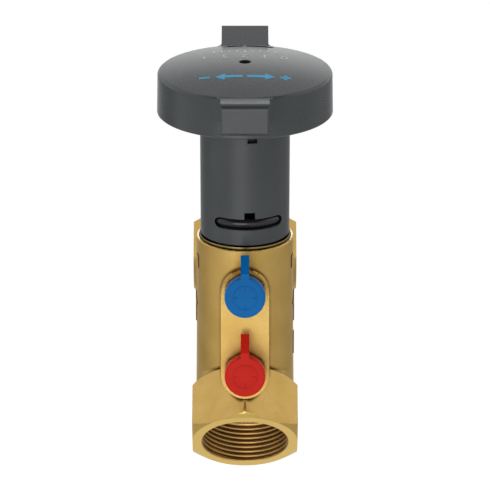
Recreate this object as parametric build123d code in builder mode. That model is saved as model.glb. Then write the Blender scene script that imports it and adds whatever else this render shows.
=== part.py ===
# Oblique balancing valve with a double regulating stem, 1 1/4 inch female pipe threads.
# Millimetres. The pipe axis is Y, the inlet face is at Y = 0, the stem leans towards +Y and +Z.
from build123d import *
import os
from math import cos, sin, tan, radians, sqrt

os.makedirs("parts", exist_ok=True)

fit = 0.05                      # running clearance between sliding or turning metal pieces
loose = 0.3                     # clearance between pieces that don't guide each other

# Casting
face_to_face = 110.6
hex_flats = 48.0
hex_chamfer_angle = 30.0
hex_rear_y = 26.3
hex_over_r = 28.2
hex_corner_y = 18.9
hex_bulge_r = 26.5
hex_bulge_y = 23.3
hex_foot = 1.1
pipe_r = 22.4
thread_minor_r = 19.48
thread_length = 18.6
lead_in = 0.45
run_out = 1.2
waterway_r = 17.5
stem_base_y = 36.0
stem_angle = 50.9
neck_r = 22.1
neck_top = 68.3
neck_edge = 0.35
seat_low = 5.0
seat_top = 9.0
seat_lip = 10.0
seat_r = 13.0
seat_lip_r = 14.6
seat_lip_foot = 0.5
neck_bore_r = 17.9
neck_thread_r = 19.0
neck_thread_start = 50.0
flange_r = 20.7
flange_seat = 64.8
gasket = 0.6
thread_relief = 1.2

# Pressure test boss on the front of the casting
boss_angle = 40.0
boss_y = 7.3
boss_z = 27.71
boss_half_width = 10.95
boss_bottom = 0.3
boss_top = 58.5
boss_depth = 22.0
upstream_s = 13.2
downstream_s = 49.1
nipple_thread_r = 4.86
nipple_hole_depth = 9.5
channel_r = 1.6
channel_overrun = 3.0

# Stem gear
stem_thread_r = 6.0
stem_shank_r = 5.9
stem_bottom = 31.0
collar_r = 8.5
collar_low = 50.5
collar_top = 54.2
bonnet_shoulder = 55.0
presetting_r = 2.5
presetting_tip = 30.4
presetting_head = 131.0
presetting_slot = 1.8
presetting_ring_level = 121.0
presetting_ring_floor_r = 1.7
presetting_ring_wire_r = 0.4
presetting_ring_width = 1.5
hub_r = 9.8
hub_bottom = 106.0
stem_hex = 9.0
stem_hex_low = 124.0
stem_top = 134.0
ring_lower = 62.0
ring_upper = 68.0
ring_groove = 2.2
ring_floor_r = 4.2
ring_wire_r = 0.86
circlip_r = 8.2
circlip_floor_r = 4.9
circlip_thick = 1.0
snap_ring_r = 6.2
snap_floor_r = 4.3
snap_thick = 1.1
snap_level = 131.5

# Disc
seal_r = 15.6
seal_bore_r = 11.5
seal_top = 12.5
seal_lip = 1.3
carrier_rim_r = 16.6
carrier_top = 16.2
carrier_edge = 0.8
carrier_hub_top = 40.0
carrier_bore_low = 22.0
plug_thread_r = 5.0
plug_thread_top = 21.0
plug_low = 1.5
plug_low_r = 9.4
plug_gap = 0.4
plug_rim = 1.0
key_low = 28.0
key_reach_r = 14.3

# Bonnet
skirt_r = 16.4
skirt_bore_r = 11.3
skirt_bottom = 27.0
skirt_top = 49.0
key_width = 4.0
bonnet_shelf = 74.0
bonnet_post_r = 12.9
bonnet_top = 92.0
bonnet_post_edge = 1.0
bonnet_shoulder_gap = 0.4
skirt_foot = 1.5

# Sleeve and its retaining clip
sleeve_low_r = 20.16
sleeve_high_r = 20.3
sleeve_bore_r = 17.6
sleeve_bottom = 70.0
sleeve_top = 131.0
sleeve_gap = 0.5
sleeve_web = 3.0
sleeve_edge = 0.4
groove_r = 18.7
groove_low = 104.0
clip_level = 80.1
clip_wire_r = 2.25
clip_leg_x = 12.6
clip_turn = 6.2
clip_arc_r = 17.55
clip_bend_r = 4.0
clip_leg_back = 8.0
slot_height = 5.2
notch_width = 4.9
notch_top = 85.8
window_level = 120.4
window_turn = 9.6
window_width = 4.4
window_height = 3.2

# Turns drum and scale disc
drum_bottom = 110.0
drum_height = 12.2
drum_web = 6.0
drum_wall = 1.2
drum_key = 3.0
drum_key_height = 6.0
dial_thick = 2.0
dial_gap = 0.6
dial_roof_gap = 1.2
dial_tube_wall = 1.8
dial_window_depth = 3.4
dial_window_edge = 1.6

# Handwheel
rim_low = 127.5
rim_high = 146.3
rim_low_r = 39.54
rim_high_r = 39.23
rim_round = 1.3
wheel_wall = 2.3
dome_top = 150.6
ear_width = 21.5
ear_reach = 58.8
ear_low = 135.4
ear_high = 149.8
ear_root_height = 146.1
ear_round = 2.7
peep_r = 2.7
rim_edge = 0.4
ear_foot_round = 1.5
ear_side_edge = 0.9
flare_r = 2.6
hub_gap = 0.15

# Test points
nipple_hex = 15.4
nipple_hex_height = 4.4
nipple_r = 6.6
nipple_height = 12.0
cap_r = 9.1
cap_low = 5.9
cap_high = 13.4
cap_edge = 0.7
cap_wall_edge = 0.3
strap_width = 3.8
strap_thick = 0.9
strap_reach = 18.0
strap_fold = 10.9
strap_bend = 6.2
plug_r = 4.2
plug_seat = 6.0
plug_slit_r = 0.5
nipple_bore_r = 1.5
nipple_edge = 0.6
nipple_ring_wire_r = 0.5
tether_ring_r = 8.4

stem_dir = (0, cos(radians(stem_angle)), sin(radians(stem_angle)))
front_dir = (0, -sin(radians(stem_angle)), cos(radians(stem_angle)))
stem_origin = (0, stem_base_y, 0)
stem_plane = Plane(origin=stem_origin, x_dir=(1, 0, 0), z_dir=stem_dir)
section_plane = Plane(origin=stem_origin, x_dir=(1, 0, 0), z_dir=front_dir)
side_plane = Plane(origin=stem_origin, x_dir=front_dir, z_dir=(-1, 0, 0))
stem_axis = Axis(stem_origin, stem_dir)
pipe_section = Plane(origin=(0, 0, 0), x_dir=(1, 0, 0), z_dir=(0, 0, 1))
boss_normal = (0, -sin(radians(boss_angle)), cos(radians(boss_angle)))
boss_rise = (0, cos(radians(boss_angle)), sin(radians(boss_angle)))
boss_plane = Plane(origin=(0, boss_y, boss_z), x_dir=(1, 0, 0), z_dir=boss_normal)


def turned(points, plane, axis, mode=Mode.ADD):
    """Turns a closed outline of radius and height about an axis."""
    with BuildSketch(plane) as outline:
        with BuildLine():
            Polyline(*points, close=True)
        make_face()
    revolve(outline.sketch, axis=axis, mode=mode)


def stem_turned(points, mode=Mode.ADD):
    turned(points, section_plane, stem_axis, mode)


def on_boss(s, height=0.0):
    """A plane square to the boss, s up its slope and height above its face."""
    centre = boss_plane.from_local_coords((0, s, height))
    return Plane(origin=centre, x_dir=(1, 0, 0), z_dir=boss_normal)


def across(turn):
    """The level direction at a turn about the stem from the front towards +X."""
    return (cos(radians(turn)), -sin(radians(turn)) * front_dir[1], -sin(radians(turn)) * front_dir[2])


def outward(turn):
    """The direction straight out from the stem at that turn."""
    return (sin(radians(turn)), cos(radians(turn)) * front_dir[1], cos(radians(turn)) * front_dir[2])


def on_stem(height, turn=0.0):
    """A plane square to the stem; its local -Y points out at that turn."""
    return Plane(origin=stem_plane.offset(height).origin, x_dir=across(turn), z_dir=stem_dir)


def facing(height, turn):
    """A plane through the stem's axis that faces out at that turn; its local Y runs up the stem."""
    return Plane(origin=stem_plane.offset(height).origin, x_dir=across(turn), z_dir=outward(turn))


# The inside of the casting, made as cores as a foundry does. Each passes the seat's plane and is cut at it.
seat_slope = radians(stem_angle)
inlet_reach = stem_base_y + (seat_low + waterway_r * sin(seat_slope)) / cos(seat_slope) + loose
outlet_reach = stem_base_y + (seat_top - waterway_r * sin(seat_slope)) / cos(seat_slope) - loose
with BuildPart() as inlet_core:
    with BuildSketch(Plane.XZ):
        Circle(waterway_r)
    extrude(amount=-inlet_reach)
    split(bisect_by=stem_plane.offset(seat_low), keep=Keep.BOTTOM)

with BuildPart() as outlet_core:
    with BuildSketch(Plane.XZ.offset(-outlet_reach)):
        Circle(waterway_r)
    extrude(amount=-(face_to_face - outlet_reach))
    split(bisect_by=stem_plane.offset(seat_top), keep=Keep.TOP)

# Casting: two hexagon ends on a round pipe, the oblique neck and the test boss.
hex_in_r = hex_flats / 2
hex_out_r = hex_in_r / cos(radians(30))
chamfer_rise = (hex_over_r - hex_in_r) * tan(radians(hex_chamfer_angle))
far = face_to_face

with BuildPart() as valve_body:
    with BuildSketch(pipe_section):
        with BuildLine():
            Polyline((0, 0), (hex_in_r, 0), (hex_over_r, chamfer_rise), (hex_over_r, hex_corner_y))
            ThreePointArc((hex_over_r, hex_corner_y), (hex_bulge_r, hex_bulge_y), (hex_in_r, hex_rear_y))
            Polyline((hex_in_r, hex_rear_y), (pipe_r, hex_rear_y + hex_foot),
                     (pipe_r, far - hex_rear_y - hex_foot),
                     (hex_in_r, far - hex_rear_y))
            ThreePointArc((hex_in_r, far - hex_rear_y), (hex_bulge_r, far - hex_bulge_y),
                          (hex_over_r, far - hex_corner_y))
            Polyline((hex_over_r, far - hex_corner_y), (hex_over_r, far - chamfer_rise), (hex_in_r, far),
                     (0, far), (0, 0))
        make_face()
    revolve(axis=Axis.Y)
    with BuildSketch(Plane.XZ):
        RegularPolygon(hex_out_r, 6, rotation=30)
    extrude(amount=2 * face_to_face, both=True, mode=Mode.INTERSECT)
    stem_turned([(0, 0), (neck_r, 0), (neck_r, neck_top - neck_edge), (neck_r - neck_edge, neck_top),
                 (0, neck_top)])
    with BuildSketch(on_boss((boss_top + boss_bottom) / 2)):
        SlotOverall(boss_top - boss_bottom, 2 * boss_half_width, rotation=90)
    extrude(amount=-boss_depth)
    add(inlet_core.part, mode=Mode.SUBTRACT)
    add(outlet_core.part, mode=Mode.SUBTRACT)
    # Neck bore with its thread and flange seat, the seat hole and its raised lip
    stem_turned([(0, seat_top), (neck_bore_r, seat_top), (neck_bore_r, neck_thread_start),
                 (neck_thread_r, neck_thread_start + neck_thread_r - neck_bore_r),
                 (neck_thread_r, flange_seat),
                 (flange_r + loose, flange_seat), (flange_r + loose, neck_top + loose),
                 (0, neck_top + loose)],
                Mode.SUBTRACT)
    stem_turned([(0, seat_low - loose), (seat_r, seat_low - loose), (seat_r, seat_lip), (0, seat_lip)],
                Mode.SUBTRACT)
    stem_turned([(seat_r, seat_top - seat_lip_foot), (seat_lip_r + seat_lip_foot, seat_top - seat_lip_foot),
                 (seat_lip_r, seat_lip), (seat_r, seat_lip)])
    # Female pipe threads at their minor radius, with a narrow lead-in
    for start, sign in ((0, 1), (face_to_face, -1)):
        turned([(0, start - sign), (thread_minor_r + lead_in, start - sign),
                (thread_minor_r + lead_in, start),
                (thread_minor_r, start + sign * lead_in), (thread_minor_r, start + sign * thread_length),
                (waterway_r, start + sign * (thread_length + run_out)),
                (0, start + sign * (thread_length + run_out))], pipe_section, Axis.Y, Mode.SUBTRACT)
    # Nipple holes and the channels from them into the two sides of the seat
    for s in (upstream_s, downstream_s):
        with BuildSketch(on_boss(s)):
            Circle(nipple_thread_r)
        extrude(amount=-nipple_hole_depth, mode=Mode.SUBTRACT)
    with BuildSketch(on_boss(downstream_s, -nipple_hole_depth)):
        Circle(channel_r)
    extrude(amount=-neck_bore_r / 2, mode=Mode.SUBTRACT)
    channel_start = on_boss(upstream_s, 1 - nipple_hole_depth).origin
    channel_end = Vector(0, thread_length + 2 * channel_r, waterway_r - channel_overrun)
    with BuildSketch(Plane(origin=channel_start, x_dir=(1, 0, 0), z_dir=channel_end - channel_start)):
        Circle(channel_r)
    extrude(amount=(channel_end - channel_start).length, mode=Mode.SUBTRACT)
valve_body.part.label = "valve_body"
export_step(valve_body.part, "parts/valve_body.step")

# Bonnet: skirt that guides the disc, thread, flange and the post that carries the sleeve.
flange_low = flange_seat + gasket
neck_waist_r = neck_thread_r - 1
bonnet_shoulder_r = sleeve_bore_r - bonnet_shoulder_gap
clip_flat = clip_leg_x - clip_wire_r - fit
clip_height = 2 * clip_wire_r + loose
with BuildPart() as bonnet:
    stem_turned([(skirt_bore_r, skirt_bottom), (skirt_r, skirt_bottom), (skirt_r, skirt_top + skirt_foot),
                 (neck_thread_r, skirt_top + skirt_foot + neck_thread_r - skirt_r),
                 (neck_thread_r, flange_seat - thread_relief), (neck_waist_r, flange_seat - thread_relief),
                 (neck_waist_r, flange_low), (flange_r, flange_low), (flange_r, sleeve_bottom - sleeve_gap),
                 (bonnet_shoulder_r, sleeve_bottom - sleeve_gap), (bonnet_shoulder_r, bonnet_shelf),
                 (bonnet_post_r, bonnet_shelf), (bonnet_post_r, bonnet_top - bonnet_post_edge),
                 (bonnet_post_r - bonnet_post_edge, bonnet_top), (stem_shank_r + fit, bonnet_top),
                 (stem_shank_r + fit, bonnet_shoulder), (collar_r + loose, bonnet_shoulder),
                 (collar_r + loose, skirt_top), (skirt_bore_r, skirt_top)])
    with BuildSketch(stem_plane.offset(skirt_bottom)):
        Rectangle(2 * neck_thread_r, key_width + 2 * loose)
    extrude(amount=skirt_top - skirt_bottom, mode=Mode.SUBTRACT)
    # Two flats that the clip's legs bear on
    for side in (1, -1):
        with BuildSketch(on_stem(clip_level - clip_height / 2, clip_turn)):
            with Locations((side * (clip_flat + bonnet_post_r / 2), 0)):
                Rectangle(bonnet_post_r, 2 * bonnet_post_r)
        extrude(amount=clip_height, mode=Mode.SUBTRACT)
bonnet.part.label = "bonnet"
export_step(bonnet.part, "parts/bonnet.step")

with BuildPart() as bonnet_gasket:
    stem_turned([(neck_waist_r + loose, flange_seat), (flange_r, flange_seat), (flange_r, flange_low),
                 (neck_waist_r + loose, flange_low)])
bonnet_gasket.part.label = "bonnet_gasket"
export_step(bonnet_gasket.part, "parts/bonnet_gasket.step")

# Disc: carrier with two keys, sealing ring and the throttling plug that clamps it.
carrier_hub_r = skirt_bore_r - loose
with BuildPart() as disc_carrier:
    stem_turned([(plug_thread_r, seal_top), (seal_r + fit, seal_top), (seal_r + fit, seal_top - seal_lip),
                 (carrier_rim_r, seal_top - seal_lip), (carrier_rim_r, carrier_top - carrier_edge),
                 (carrier_rim_r - carrier_edge, carrier_top), (carrier_hub_r + 1.4, carrier_top),
                 (carrier_hub_r, carrier_top + 1.4), (carrier_hub_r, carrier_hub_top),
                 (stem_thread_r + fit, carrier_hub_top), (stem_thread_r + fit, carrier_bore_low),
                 (plug_thread_r, carrier_bore_low)])
    with BuildSketch(stem_plane.offset(key_low)):
        for side in (1, -1):
            with Locations((side * (key_reach_r + carrier_hub_r - 1) / 2, 0)):
                Rectangle(key_reach_r - carrier_hub_r + 1, key_width)
    extrude(amount=carrier_hub_top - key_low)
disc_carrier.part.label = "disc_carrier"
export_step(disc_carrier.part, "parts/disc_carrier.step")

with BuildPart() as disc_seal:
    stem_turned([(seal_bore_r, seat_lip), (seal_r, seat_lip), (seal_r, seal_top), (seal_bore_r, seal_top)])
disc_seal.part.label = "disc_seal"
export_step(disc_seal.part, "parts/disc_seal.step")

plug_flange_r = seat_r - plug_gap
with BuildPart() as throttle_plug:
    stem_turned([(0, plug_low), (plug_low_r - 1, plug_low), (plug_low_r, plug_low + 1),
                 (plug_flange_r, seat_lip - plug_rim), (plug_flange_r, seat_lip),
                 (seal_bore_r - fit, seat_lip),
                 (seal_bore_r - fit, seal_top), (plug_thread_r - fit, seal_top),
                 (plug_thread_r - fit, plug_thread_top), (0, plug_thread_top)])
    with BuildSketch(stem_plane.offset(plug_low)):
        RegularPolygon(plug_low_r / 2, 6)
    extrude(amount=(seat_lip - plug_low) / 2, mode=Mode.SUBTRACT)
throttle_plug.part.label = "throttle_plug"
export_step(throttle_plug.part, "parts/throttle_plug.step")

# Stem, bored through for the presetting spindle.
hex_reach = stem_hex / 2 / cos(radians(30))
stem_bore_r = presetting_r + fit
circlip_level = bonnet_top + loose
with BuildPart() as stem:
    stem_turned([(stem_bore_r, stem_bottom), (stem_thread_r - 0.6, stem_bottom),
                 (stem_thread_r, stem_bottom + 0.6), (stem_thread_r, collar_low), (collar_r, collar_low),
                 (collar_r, collar_top), (stem_shank_r, collar_top), (stem_shank_r, stem_hex_low),
                 (hex_reach + loose, stem_hex_low), (hex_reach + loose, stem_top), (stem_bore_r, stem_top)])
    for level in (ring_lower, ring_upper):
        stem_turned([(ring_floor_r, level), (stem_shank_r + 1, level),
                     (stem_shank_r + 1, level + ring_groove),
                     (ring_floor_r, level + ring_groove)], Mode.SUBTRACT)
    stem_turned([(circlip_floor_r, circlip_level - fit), (stem_shank_r + 1, circlip_level - fit),
                 (stem_shank_r + 1, circlip_level + circlip_thick + fit),
                 (circlip_floor_r, circlip_level + circlip_thick + fit)], Mode.SUBTRACT)
    with BuildSketch(stem_plane.offset(stem_hex_low)):
        Circle(2 * hex_reach)
        RegularPolygon(hex_reach, 6, mode=Mode.SUBTRACT)
    extrude(amount=stem_top - stem_hex_low, mode=Mode.SUBTRACT)
    stem_turned([(snap_floor_r, snap_level - fit), (hex_reach + 1, snap_level - fit),
                 (hex_reach + 1, snap_level + snap_thick + fit),
                 (snap_floor_r, snap_level + snap_thick + fit)],
                Mode.SUBTRACT)
stem.part.label = "stem"
export_step(stem.part, "parts/stem.step")

for name, level in (("stem_o_ring_lower", ring_lower), ("stem_o_ring_upper", ring_upper)):
    with BuildPart() as stem_ring:
        with BuildSketch(section_plane):
            with Locations((ring_floor_r + ring_wire_r, level + ring_groove / 2)):
                Circle(ring_wire_r)
        revolve(axis=stem_axis)
    stem_ring.part.label = name
    export_step(stem_ring.part, f"parts/{name}.step")

with BuildPart() as thrust_washer:
    stem_turned([(stem_shank_r + 2 * fit, collar_top), (collar_r, collar_top),
                 (collar_r, bonnet_shoulder - 2 * fit), (stem_shank_r + 2 * fit, bonnet_shoulder - 2 * fit)])
thrust_washer.part.label = "thrust_washer"
export_step(thrust_washer.part, "parts/thrust_washer.step")

with BuildPart() as stem_circlip:
    stem_turned([(circlip_floor_r + fit, circlip_level), (circlip_r, circlip_level),
                 (circlip_r, circlip_level + circlip_thick),
                 (circlip_floor_r + fit, circlip_level + circlip_thick)])
    with BuildSketch(stem_plane.offset(circlip_level)):
        with Locations((0, circlip_r)):
            Rectangle(circlip_floor_r * 0.7, 2 * circlip_r - 1)
    extrude(amount=circlip_thick, mode=Mode.SUBTRACT)
stem_circlip.part.label = "stem_circlip"
export_step(stem_circlip.part, "parts/stem_circlip.step")

with BuildPart() as wheel_snap_ring:
    stem_turned([(snap_floor_r + fit, snap_level), (snap_ring_r, snap_level),
                 (snap_ring_r, snap_level + snap_thick),
                 (snap_floor_r + fit, snap_level + snap_thick)])
    with BuildSketch(stem_plane.offset(snap_level)):
        with Locations((0, snap_ring_r)):
            Rectangle(snap_floor_r * 0.6, 2 * snap_ring_r - 1)
    extrude(amount=snap_thick, mode=Mode.SUBTRACT)
wheel_snap_ring.part.label = "wheel_snap_ring"
export_step(wheel_snap_ring.part, "parts/wheel_snap_ring.step")

# Presetting spindle, slotted at the top for a screwdriver put through the wheel's centre.
groove_top = presetting_ring_level + presetting_ring_width
with BuildPart() as presetting_spindle:
    stem_turned([(0, presetting_tip), (presetting_r - 0.5, presetting_tip),
                 (presetting_r, presetting_tip + 0.5), (presetting_r, presetting_ring_level),
                 (presetting_ring_floor_r, presetting_ring_level), (presetting_ring_floor_r, groove_top),
                 (presetting_r, groove_top), (presetting_r, presetting_head - 0.3),
                 (presetting_r - 0.3, presetting_head), (0, presetting_head)])
    with BuildSketch(stem_plane.offset(presetting_head - presetting_slot)):
        Rectangle(3 * presetting_r, presetting_slot / 2)
    extrude(amount=presetting_slot, mode=Mode.SUBTRACT)
presetting_spindle.part.label = "presetting_spindle"
export_step(presetting_spindle.part, "parts/presetting_spindle.step")

with BuildPart() as presetting_o_ring:
    with BuildSketch(section_plane):
        with Locations((presetting_ring_floor_r + presetting_ring_wire_r,
                        presetting_ring_level + presetting_ring_width / 2)):
            Circle(presetting_ring_wire_r)
    revolve(axis=stem_axis)
presetting_o_ring.part.label = "presetting_o_ring"
export_step(presetting_o_ring.part, "parts/presetting_o_ring.step")

# Sleeve: slotted for the clip, windowed for the turns drum, grooved inside for the drum's keys.
sleeve_post_r = bonnet_post_r + 3 * fit
sleeve_foot_r = sleeve_bore_r + loose
web_top = bonnet_shelf + sleeve_web
with BuildPart() as sleeve:
    stem_turned([(sleeve_foot_r, sleeve_bottom), (sleeve_low_r - sleeve_edge, sleeve_bottom),
                 (sleeve_low_r, sleeve_bottom + sleeve_edge), (sleeve_high_r, sleeve_top),
                 (sleeve_bore_r, sleeve_top), (sleeve_bore_r, web_top), (sleeve_post_r, web_top),
                 (sleeve_post_r, bonnet_shelf), (sleeve_foot_r, bonnet_shelf)])
    with BuildSketch(facing(clip_level, clip_turn)):
        SlotOverall(2 * (clip_leg_x + clip_wire_r + loose), slot_height)
    extrude(amount=sleeve_high_r + 1, mode=Mode.SUBTRACT)
    with BuildSketch(facing(clip_level, clip_turn)):
        with Locations((0, (notch_top - clip_level) / 2)):
            Rectangle(notch_width, notch_top - clip_level)
    extrude(amount=sleeve_high_r + 1, mode=Mode.SUBTRACT)
    # Window under the wheel where the turns drum is read
    with BuildSketch(facing(window_level, window_turn)):
        Rectangle(window_width, window_height)
    extrude(amount=sleeve_high_r + 1, mode=Mode.SUBTRACT)
    with BuildSketch(stem_plane.offset(groove_low)):
        for side in (1, -1):
            with Locations((side * (groove_r + sleeve_bore_r - 1) / 2, 0)):
                Rectangle(groove_r - sleeve_bore_r + 1, drum_key + 2 * loose)
    extrude(amount=sleeve_top - groove_low, mode=Mode.SUBTRACT)
sleeve.part.label = "sleeve"
export_step(sleeve.part, "parts/sleeve.step")

# Clip: bent round bar, an arc behind the slot and two straight legs, with a bend between them.
bend_x = clip_leg_x - clip_bend_r
bend_y = -sqrt((clip_arc_r - clip_bend_r) ** 2 - bend_x ** 2)
bend_end = clip_arc_r / (clip_arc_r - clip_bend_r)
bend_mid = (1 + bend_x / (clip_arc_r - clip_bend_r), bend_y / (clip_arc_r - clip_bend_r))
bend_scale = clip_bend_r / sqrt(bend_mid[0] ** 2 + bend_mid[1] ** 2)
with BuildPart() as retaining_clip:
    with BuildLine(on_stem(clip_level, clip_turn)) as clip_path:
        Line((-clip_leg_x, clip_leg_back), (-clip_leg_x, bend_y))
        ThreePointArc((-clip_leg_x, bend_y),
                      (-bend_x - bend_mid[0] * bend_scale, bend_y + bend_mid[1] * bend_scale),
                      (-bend_x * bend_end, bend_y * bend_end))
        ThreePointArc((-bend_x * bend_end, bend_y * bend_end), (0, -clip_arc_r),
                      (bend_x * bend_end, bend_y * bend_end))
        ThreePointArc((bend_x * bend_end, bend_y * bend_end),
                      (bend_x + bend_mid[0] * bend_scale, bend_y + bend_mid[1] * bend_scale),
                      (clip_leg_x, bend_y))
        Line((clip_leg_x, bend_y), (clip_leg_x, clip_leg_back))
    with BuildSketch(Plane(origin=clip_path.line @ 0, z_dir=clip_path.line % 0)):
        Circle(clip_wire_r)
    sweep()
retaining_clip.part.label = "retaining_clip"
export_step(retaining_clip.part, "parts/retaining_clip.step")

# Turns drum: rises on the hub's thread while its keys hold it from turning.
drum_r = sleeve_bore_r - loose
drum_top = drum_bottom + drum_height
with BuildPart() as turns_drum:
    stem_turned([(hub_r + fit, drum_bottom), (drum_r, drum_bottom), (drum_r, drum_top),
                 (drum_r - drum_wall, drum_top), (drum_r - drum_wall, drum_bottom + drum_web),
                 (hub_r + fit, drum_bottom + drum_web)])
    with BuildSketch(stem_plane.offset(drum_bottom)):
        for side in (1, -1):
            with Locations((side * (groove_r - loose + drum_r - 1) / 2, 0)):
                Rectangle(groove_r - loose - drum_r + 1, drum_key)
    extrude(amount=drum_key_height)
turns_drum.part.label = "turns_drum"
export_step(turns_drum.part, "parts/turns_drum.step")

# Scale disc: still dial under the dome, standing on the sleeve's top.
dial_r = rim_high_r - wheel_wall - dial_gap
dial_top = rim_high - wheel_wall - dial_roof_gap
dial_tube_r = sleeve_high_r - 0.7
dial_bore_r = dial_tube_r - dial_tube_wall
dial_hole_r = hub_r + 2 * loose
with BuildPart() as scale_disc:
    stem_turned([(dial_hole_r, sleeve_top), (dial_tube_r, sleeve_top), (dial_tube_r, dial_top - dial_thick),
                 (dial_r, dial_top - dial_thick), (dial_r, dial_top), (dial_bore_r, dial_top),
                 (dial_bore_r, sleeve_top + dial_thick), (dial_hole_r, sleeve_top + dial_thick)])
scale_disc.part.label = "scale_disc"
export_step(scale_disc.part, "parts/scale_disc.step")

ear_root_r = rim_low_r - 9.5
# The two ears: a side outline crossed with a plan outline that flares into the rim.
flare_x = ear_width / 2 + flare_r
flare_y = sqrt((rim_low_r + flare_r) ** 2 - flare_x ** 2)
flare_end = rim_low_r / (rim_low_r + flare_r)
flare_mid = (1 + flare_x / (rim_low_r + flare_r), flare_y / (rim_low_r + flare_r))
flare_scale = flare_r / sqrt(flare_mid[0] ** 2 + flare_mid[1] ** 2)
with BuildPart() as ears:
    with BuildSketch(side_plane):
        for side in (1, -1):
            with BuildLine():
                Polyline((side * ear_reach, ear_high - ear_round),
                         (side * ear_reach, ear_low + ear_foot_round),
                         (side * (ear_reach - ear_foot_round), ear_low), (side * ear_root_r, ear_low),
                         (side * ear_root_r, ear_root_height - rim_edge),
                         (side * (rim_high_r - rim_round), ear_root_height),
                         (side * (ear_reach - ear_round), ear_high))
                ThreePointArc((side * (ear_reach - ear_round), ear_high),
                              (side * (ear_reach - 0.29 * ear_round), ear_high - 0.25 * ear_round),
                              (side * ear_reach, ear_high - ear_round))
            make_face()
    extrude(amount=ear_width, both=True)
    with BuildSketch(stem_plane.offset(ear_low - 5)):
        for side in (1, -1):
            with BuildLine():
                Polyline((flare_x * flare_end, side * flare_y * flare_end),
                         (flare_x * flare_end, side * ear_root_r),
                         (-flare_x * flare_end, side * ear_root_r),
                         (-flare_x * flare_end, side * flare_y * flare_end))
                ThreePointArc((-flare_x * flare_end, side * flare_y * flare_end),
                              (-flare_x + flare_mid[0] * flare_scale,
                               side * (flare_y - flare_mid[1] * flare_scale)),
                              (-ear_width / 2, side * flare_y))
                Polyline((-ear_width / 2, side * flare_y),
                         (-ear_width / 2, side * (ear_reach - ear_side_edge)),
                         (-ear_width / 2 + ear_side_edge, side * ear_reach),
                         (ear_width / 2 - ear_side_edge, side * ear_reach),
                         (ear_width / 2, side * (ear_reach - ear_side_edge)), (ear_width / 2, side * flare_y))
                ThreePointArc((ear_width / 2, side * flare_y),
                              (flare_x - flare_mid[0] * flare_scale,
                               side * (flare_y - flare_mid[1] * flare_scale)),
                              (flare_x * flare_end, side * flare_y * flare_end))
            make_face()
    extrude(amount=ear_high - ear_low + 10, mode=Mode.INTERSECT)

# Handwheel: one moulding of dome, rim, two ears and the hub with its hexagon socket.
rise = dome_top - rim_high
dome_sphere = (rim_high_r ** 2 + rise ** 2) / (2 * rise)
with BuildPart() as handwheel:
    with BuildSketch(section_plane):
        with BuildLine():
            Polyline((0, rim_low), (rim_low_r - rim_edge, rim_low), (rim_low_r, rim_low + rim_edge),
                     (rim_high_r, rim_high - rim_round))
            ThreePointArc((rim_high_r, rim_high - rim_round),
                          (rim_high_r - 0.32 * rim_round, rim_high - 0.28 * rim_round),
                          (rim_high_r - rim_round, rim_high + 0.14))
            ThreePointArc((rim_high_r - rim_round, rim_high + 0.14),
                          (rim_high_r / 2,
                           dome_top - dome_sphere + sqrt(dome_sphere ** 2 - rim_high_r ** 2 / 4)),
                          (0, dome_top))
            Line((0, dome_top), (0, rim_low))
        make_face()
    revolve(axis=stem_axis)
    add(ears.part)
    # Hollow under the dome, and in the ears
    under = dome_top - wheel_wall
    stem_turned([(hub_r, rim_low - 1), (rim_low_r - wheel_wall, rim_low - 1),
                 (rim_high_r - wheel_wall, rim_high - 2.0), (hub_r + 2.2, under - 0.4), (hub_r, under - 2.6)],
                Mode.SUBTRACT)
    with BuildSketch(side_plane):
        for side in (1, -1):
            with BuildLine():
                Polyline((side * (rim_low_r + wheel_wall), ear_low - 6), (side * (ear_reach - wheel_wall),
                                                                          ear_low - 6),
                         (side * (ear_reach - wheel_wall), ear_high - wheel_wall - 0.4),
                         (side * (rim_low_r + wheel_wall), ear_root_height - wheel_wall),
                         (side * (rim_low_r + wheel_wall), ear_low - 6))
            make_face()
    extrude(amount=ear_width / 2 - wheel_wall, both=True, mode=Mode.SUBTRACT)
    # Hub: thread for the drum outside, hexagon socket for the stem inside
    socket_r = stem_shank_r + hub_gap
    stem_turned([(socket_r, hub_bottom), (hub_r - 0.5, hub_bottom), (hub_r, hub_bottom + 0.5),
                 (hub_r, under - 0.2), (socket_r, under - 0.2)])
    stem_turned([(0, hub_bottom - 1), (socket_r, hub_bottom - 1), (socket_r, stem_hex_low + fit),
                 (0, stem_hex_low + fit)], Mode.SUBTRACT)
    with BuildSketch(stem_plane.offset(stem_hex_low)):
        RegularPolygon((stem_hex / 2 + fit) / cos(radians(30)), 6)
    extrude(amount=stem_top - stem_hex_low, mode=Mode.SUBTRACT)
    snap_room_r = snap_ring_r + fit
    snap_low = snap_level - fit
    snap_high = snap_level + snap_thick + fit
    stem_turned([(0, snap_low), (snap_room_r, snap_low), (snap_room_r, snap_high),
                 (0, snap_high)], Mode.SUBTRACT)
    peep_cone_low = dome_top - 8.6
    stem_turned([(0, stem_top - hub_gap), (snap_ring_r, stem_top - hub_gap), (snap_ring_r, peep_cone_low),
                 (peep_r, peep_cone_low + snap_ring_r - peep_r), (peep_r, dome_top + 1), (0, dome_top + 1)],
                Mode.SUBTRACT)
    # Two windows at the dome's back edge, over the scale
    window_r = dial_r - dial_window_edge
    for from_turn, to_turn in ((157.0, 179.0), (181.8, 194.0)):
        with BuildSketch(stem_plane.offset(dial_top + loose)):
            with BuildLine():
                inner = CenterArc((0, 0), window_r - dial_window_depth, from_turn - 90, to_turn - from_turn)
                outer = CenterArc((0, 0), window_r, from_turn - 90, to_turn - from_turn)
                Line(inner @ 0, outer @ 0)
                Line(inner @ 1, outer @ 1)
            make_face()
        extrude(amount=dome_top - dial_top, mode=Mode.SUBTRACT)
handwheel.part.label = "handwheel"
export_step(handwheel.part, "parts/handwheel.step")

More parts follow.
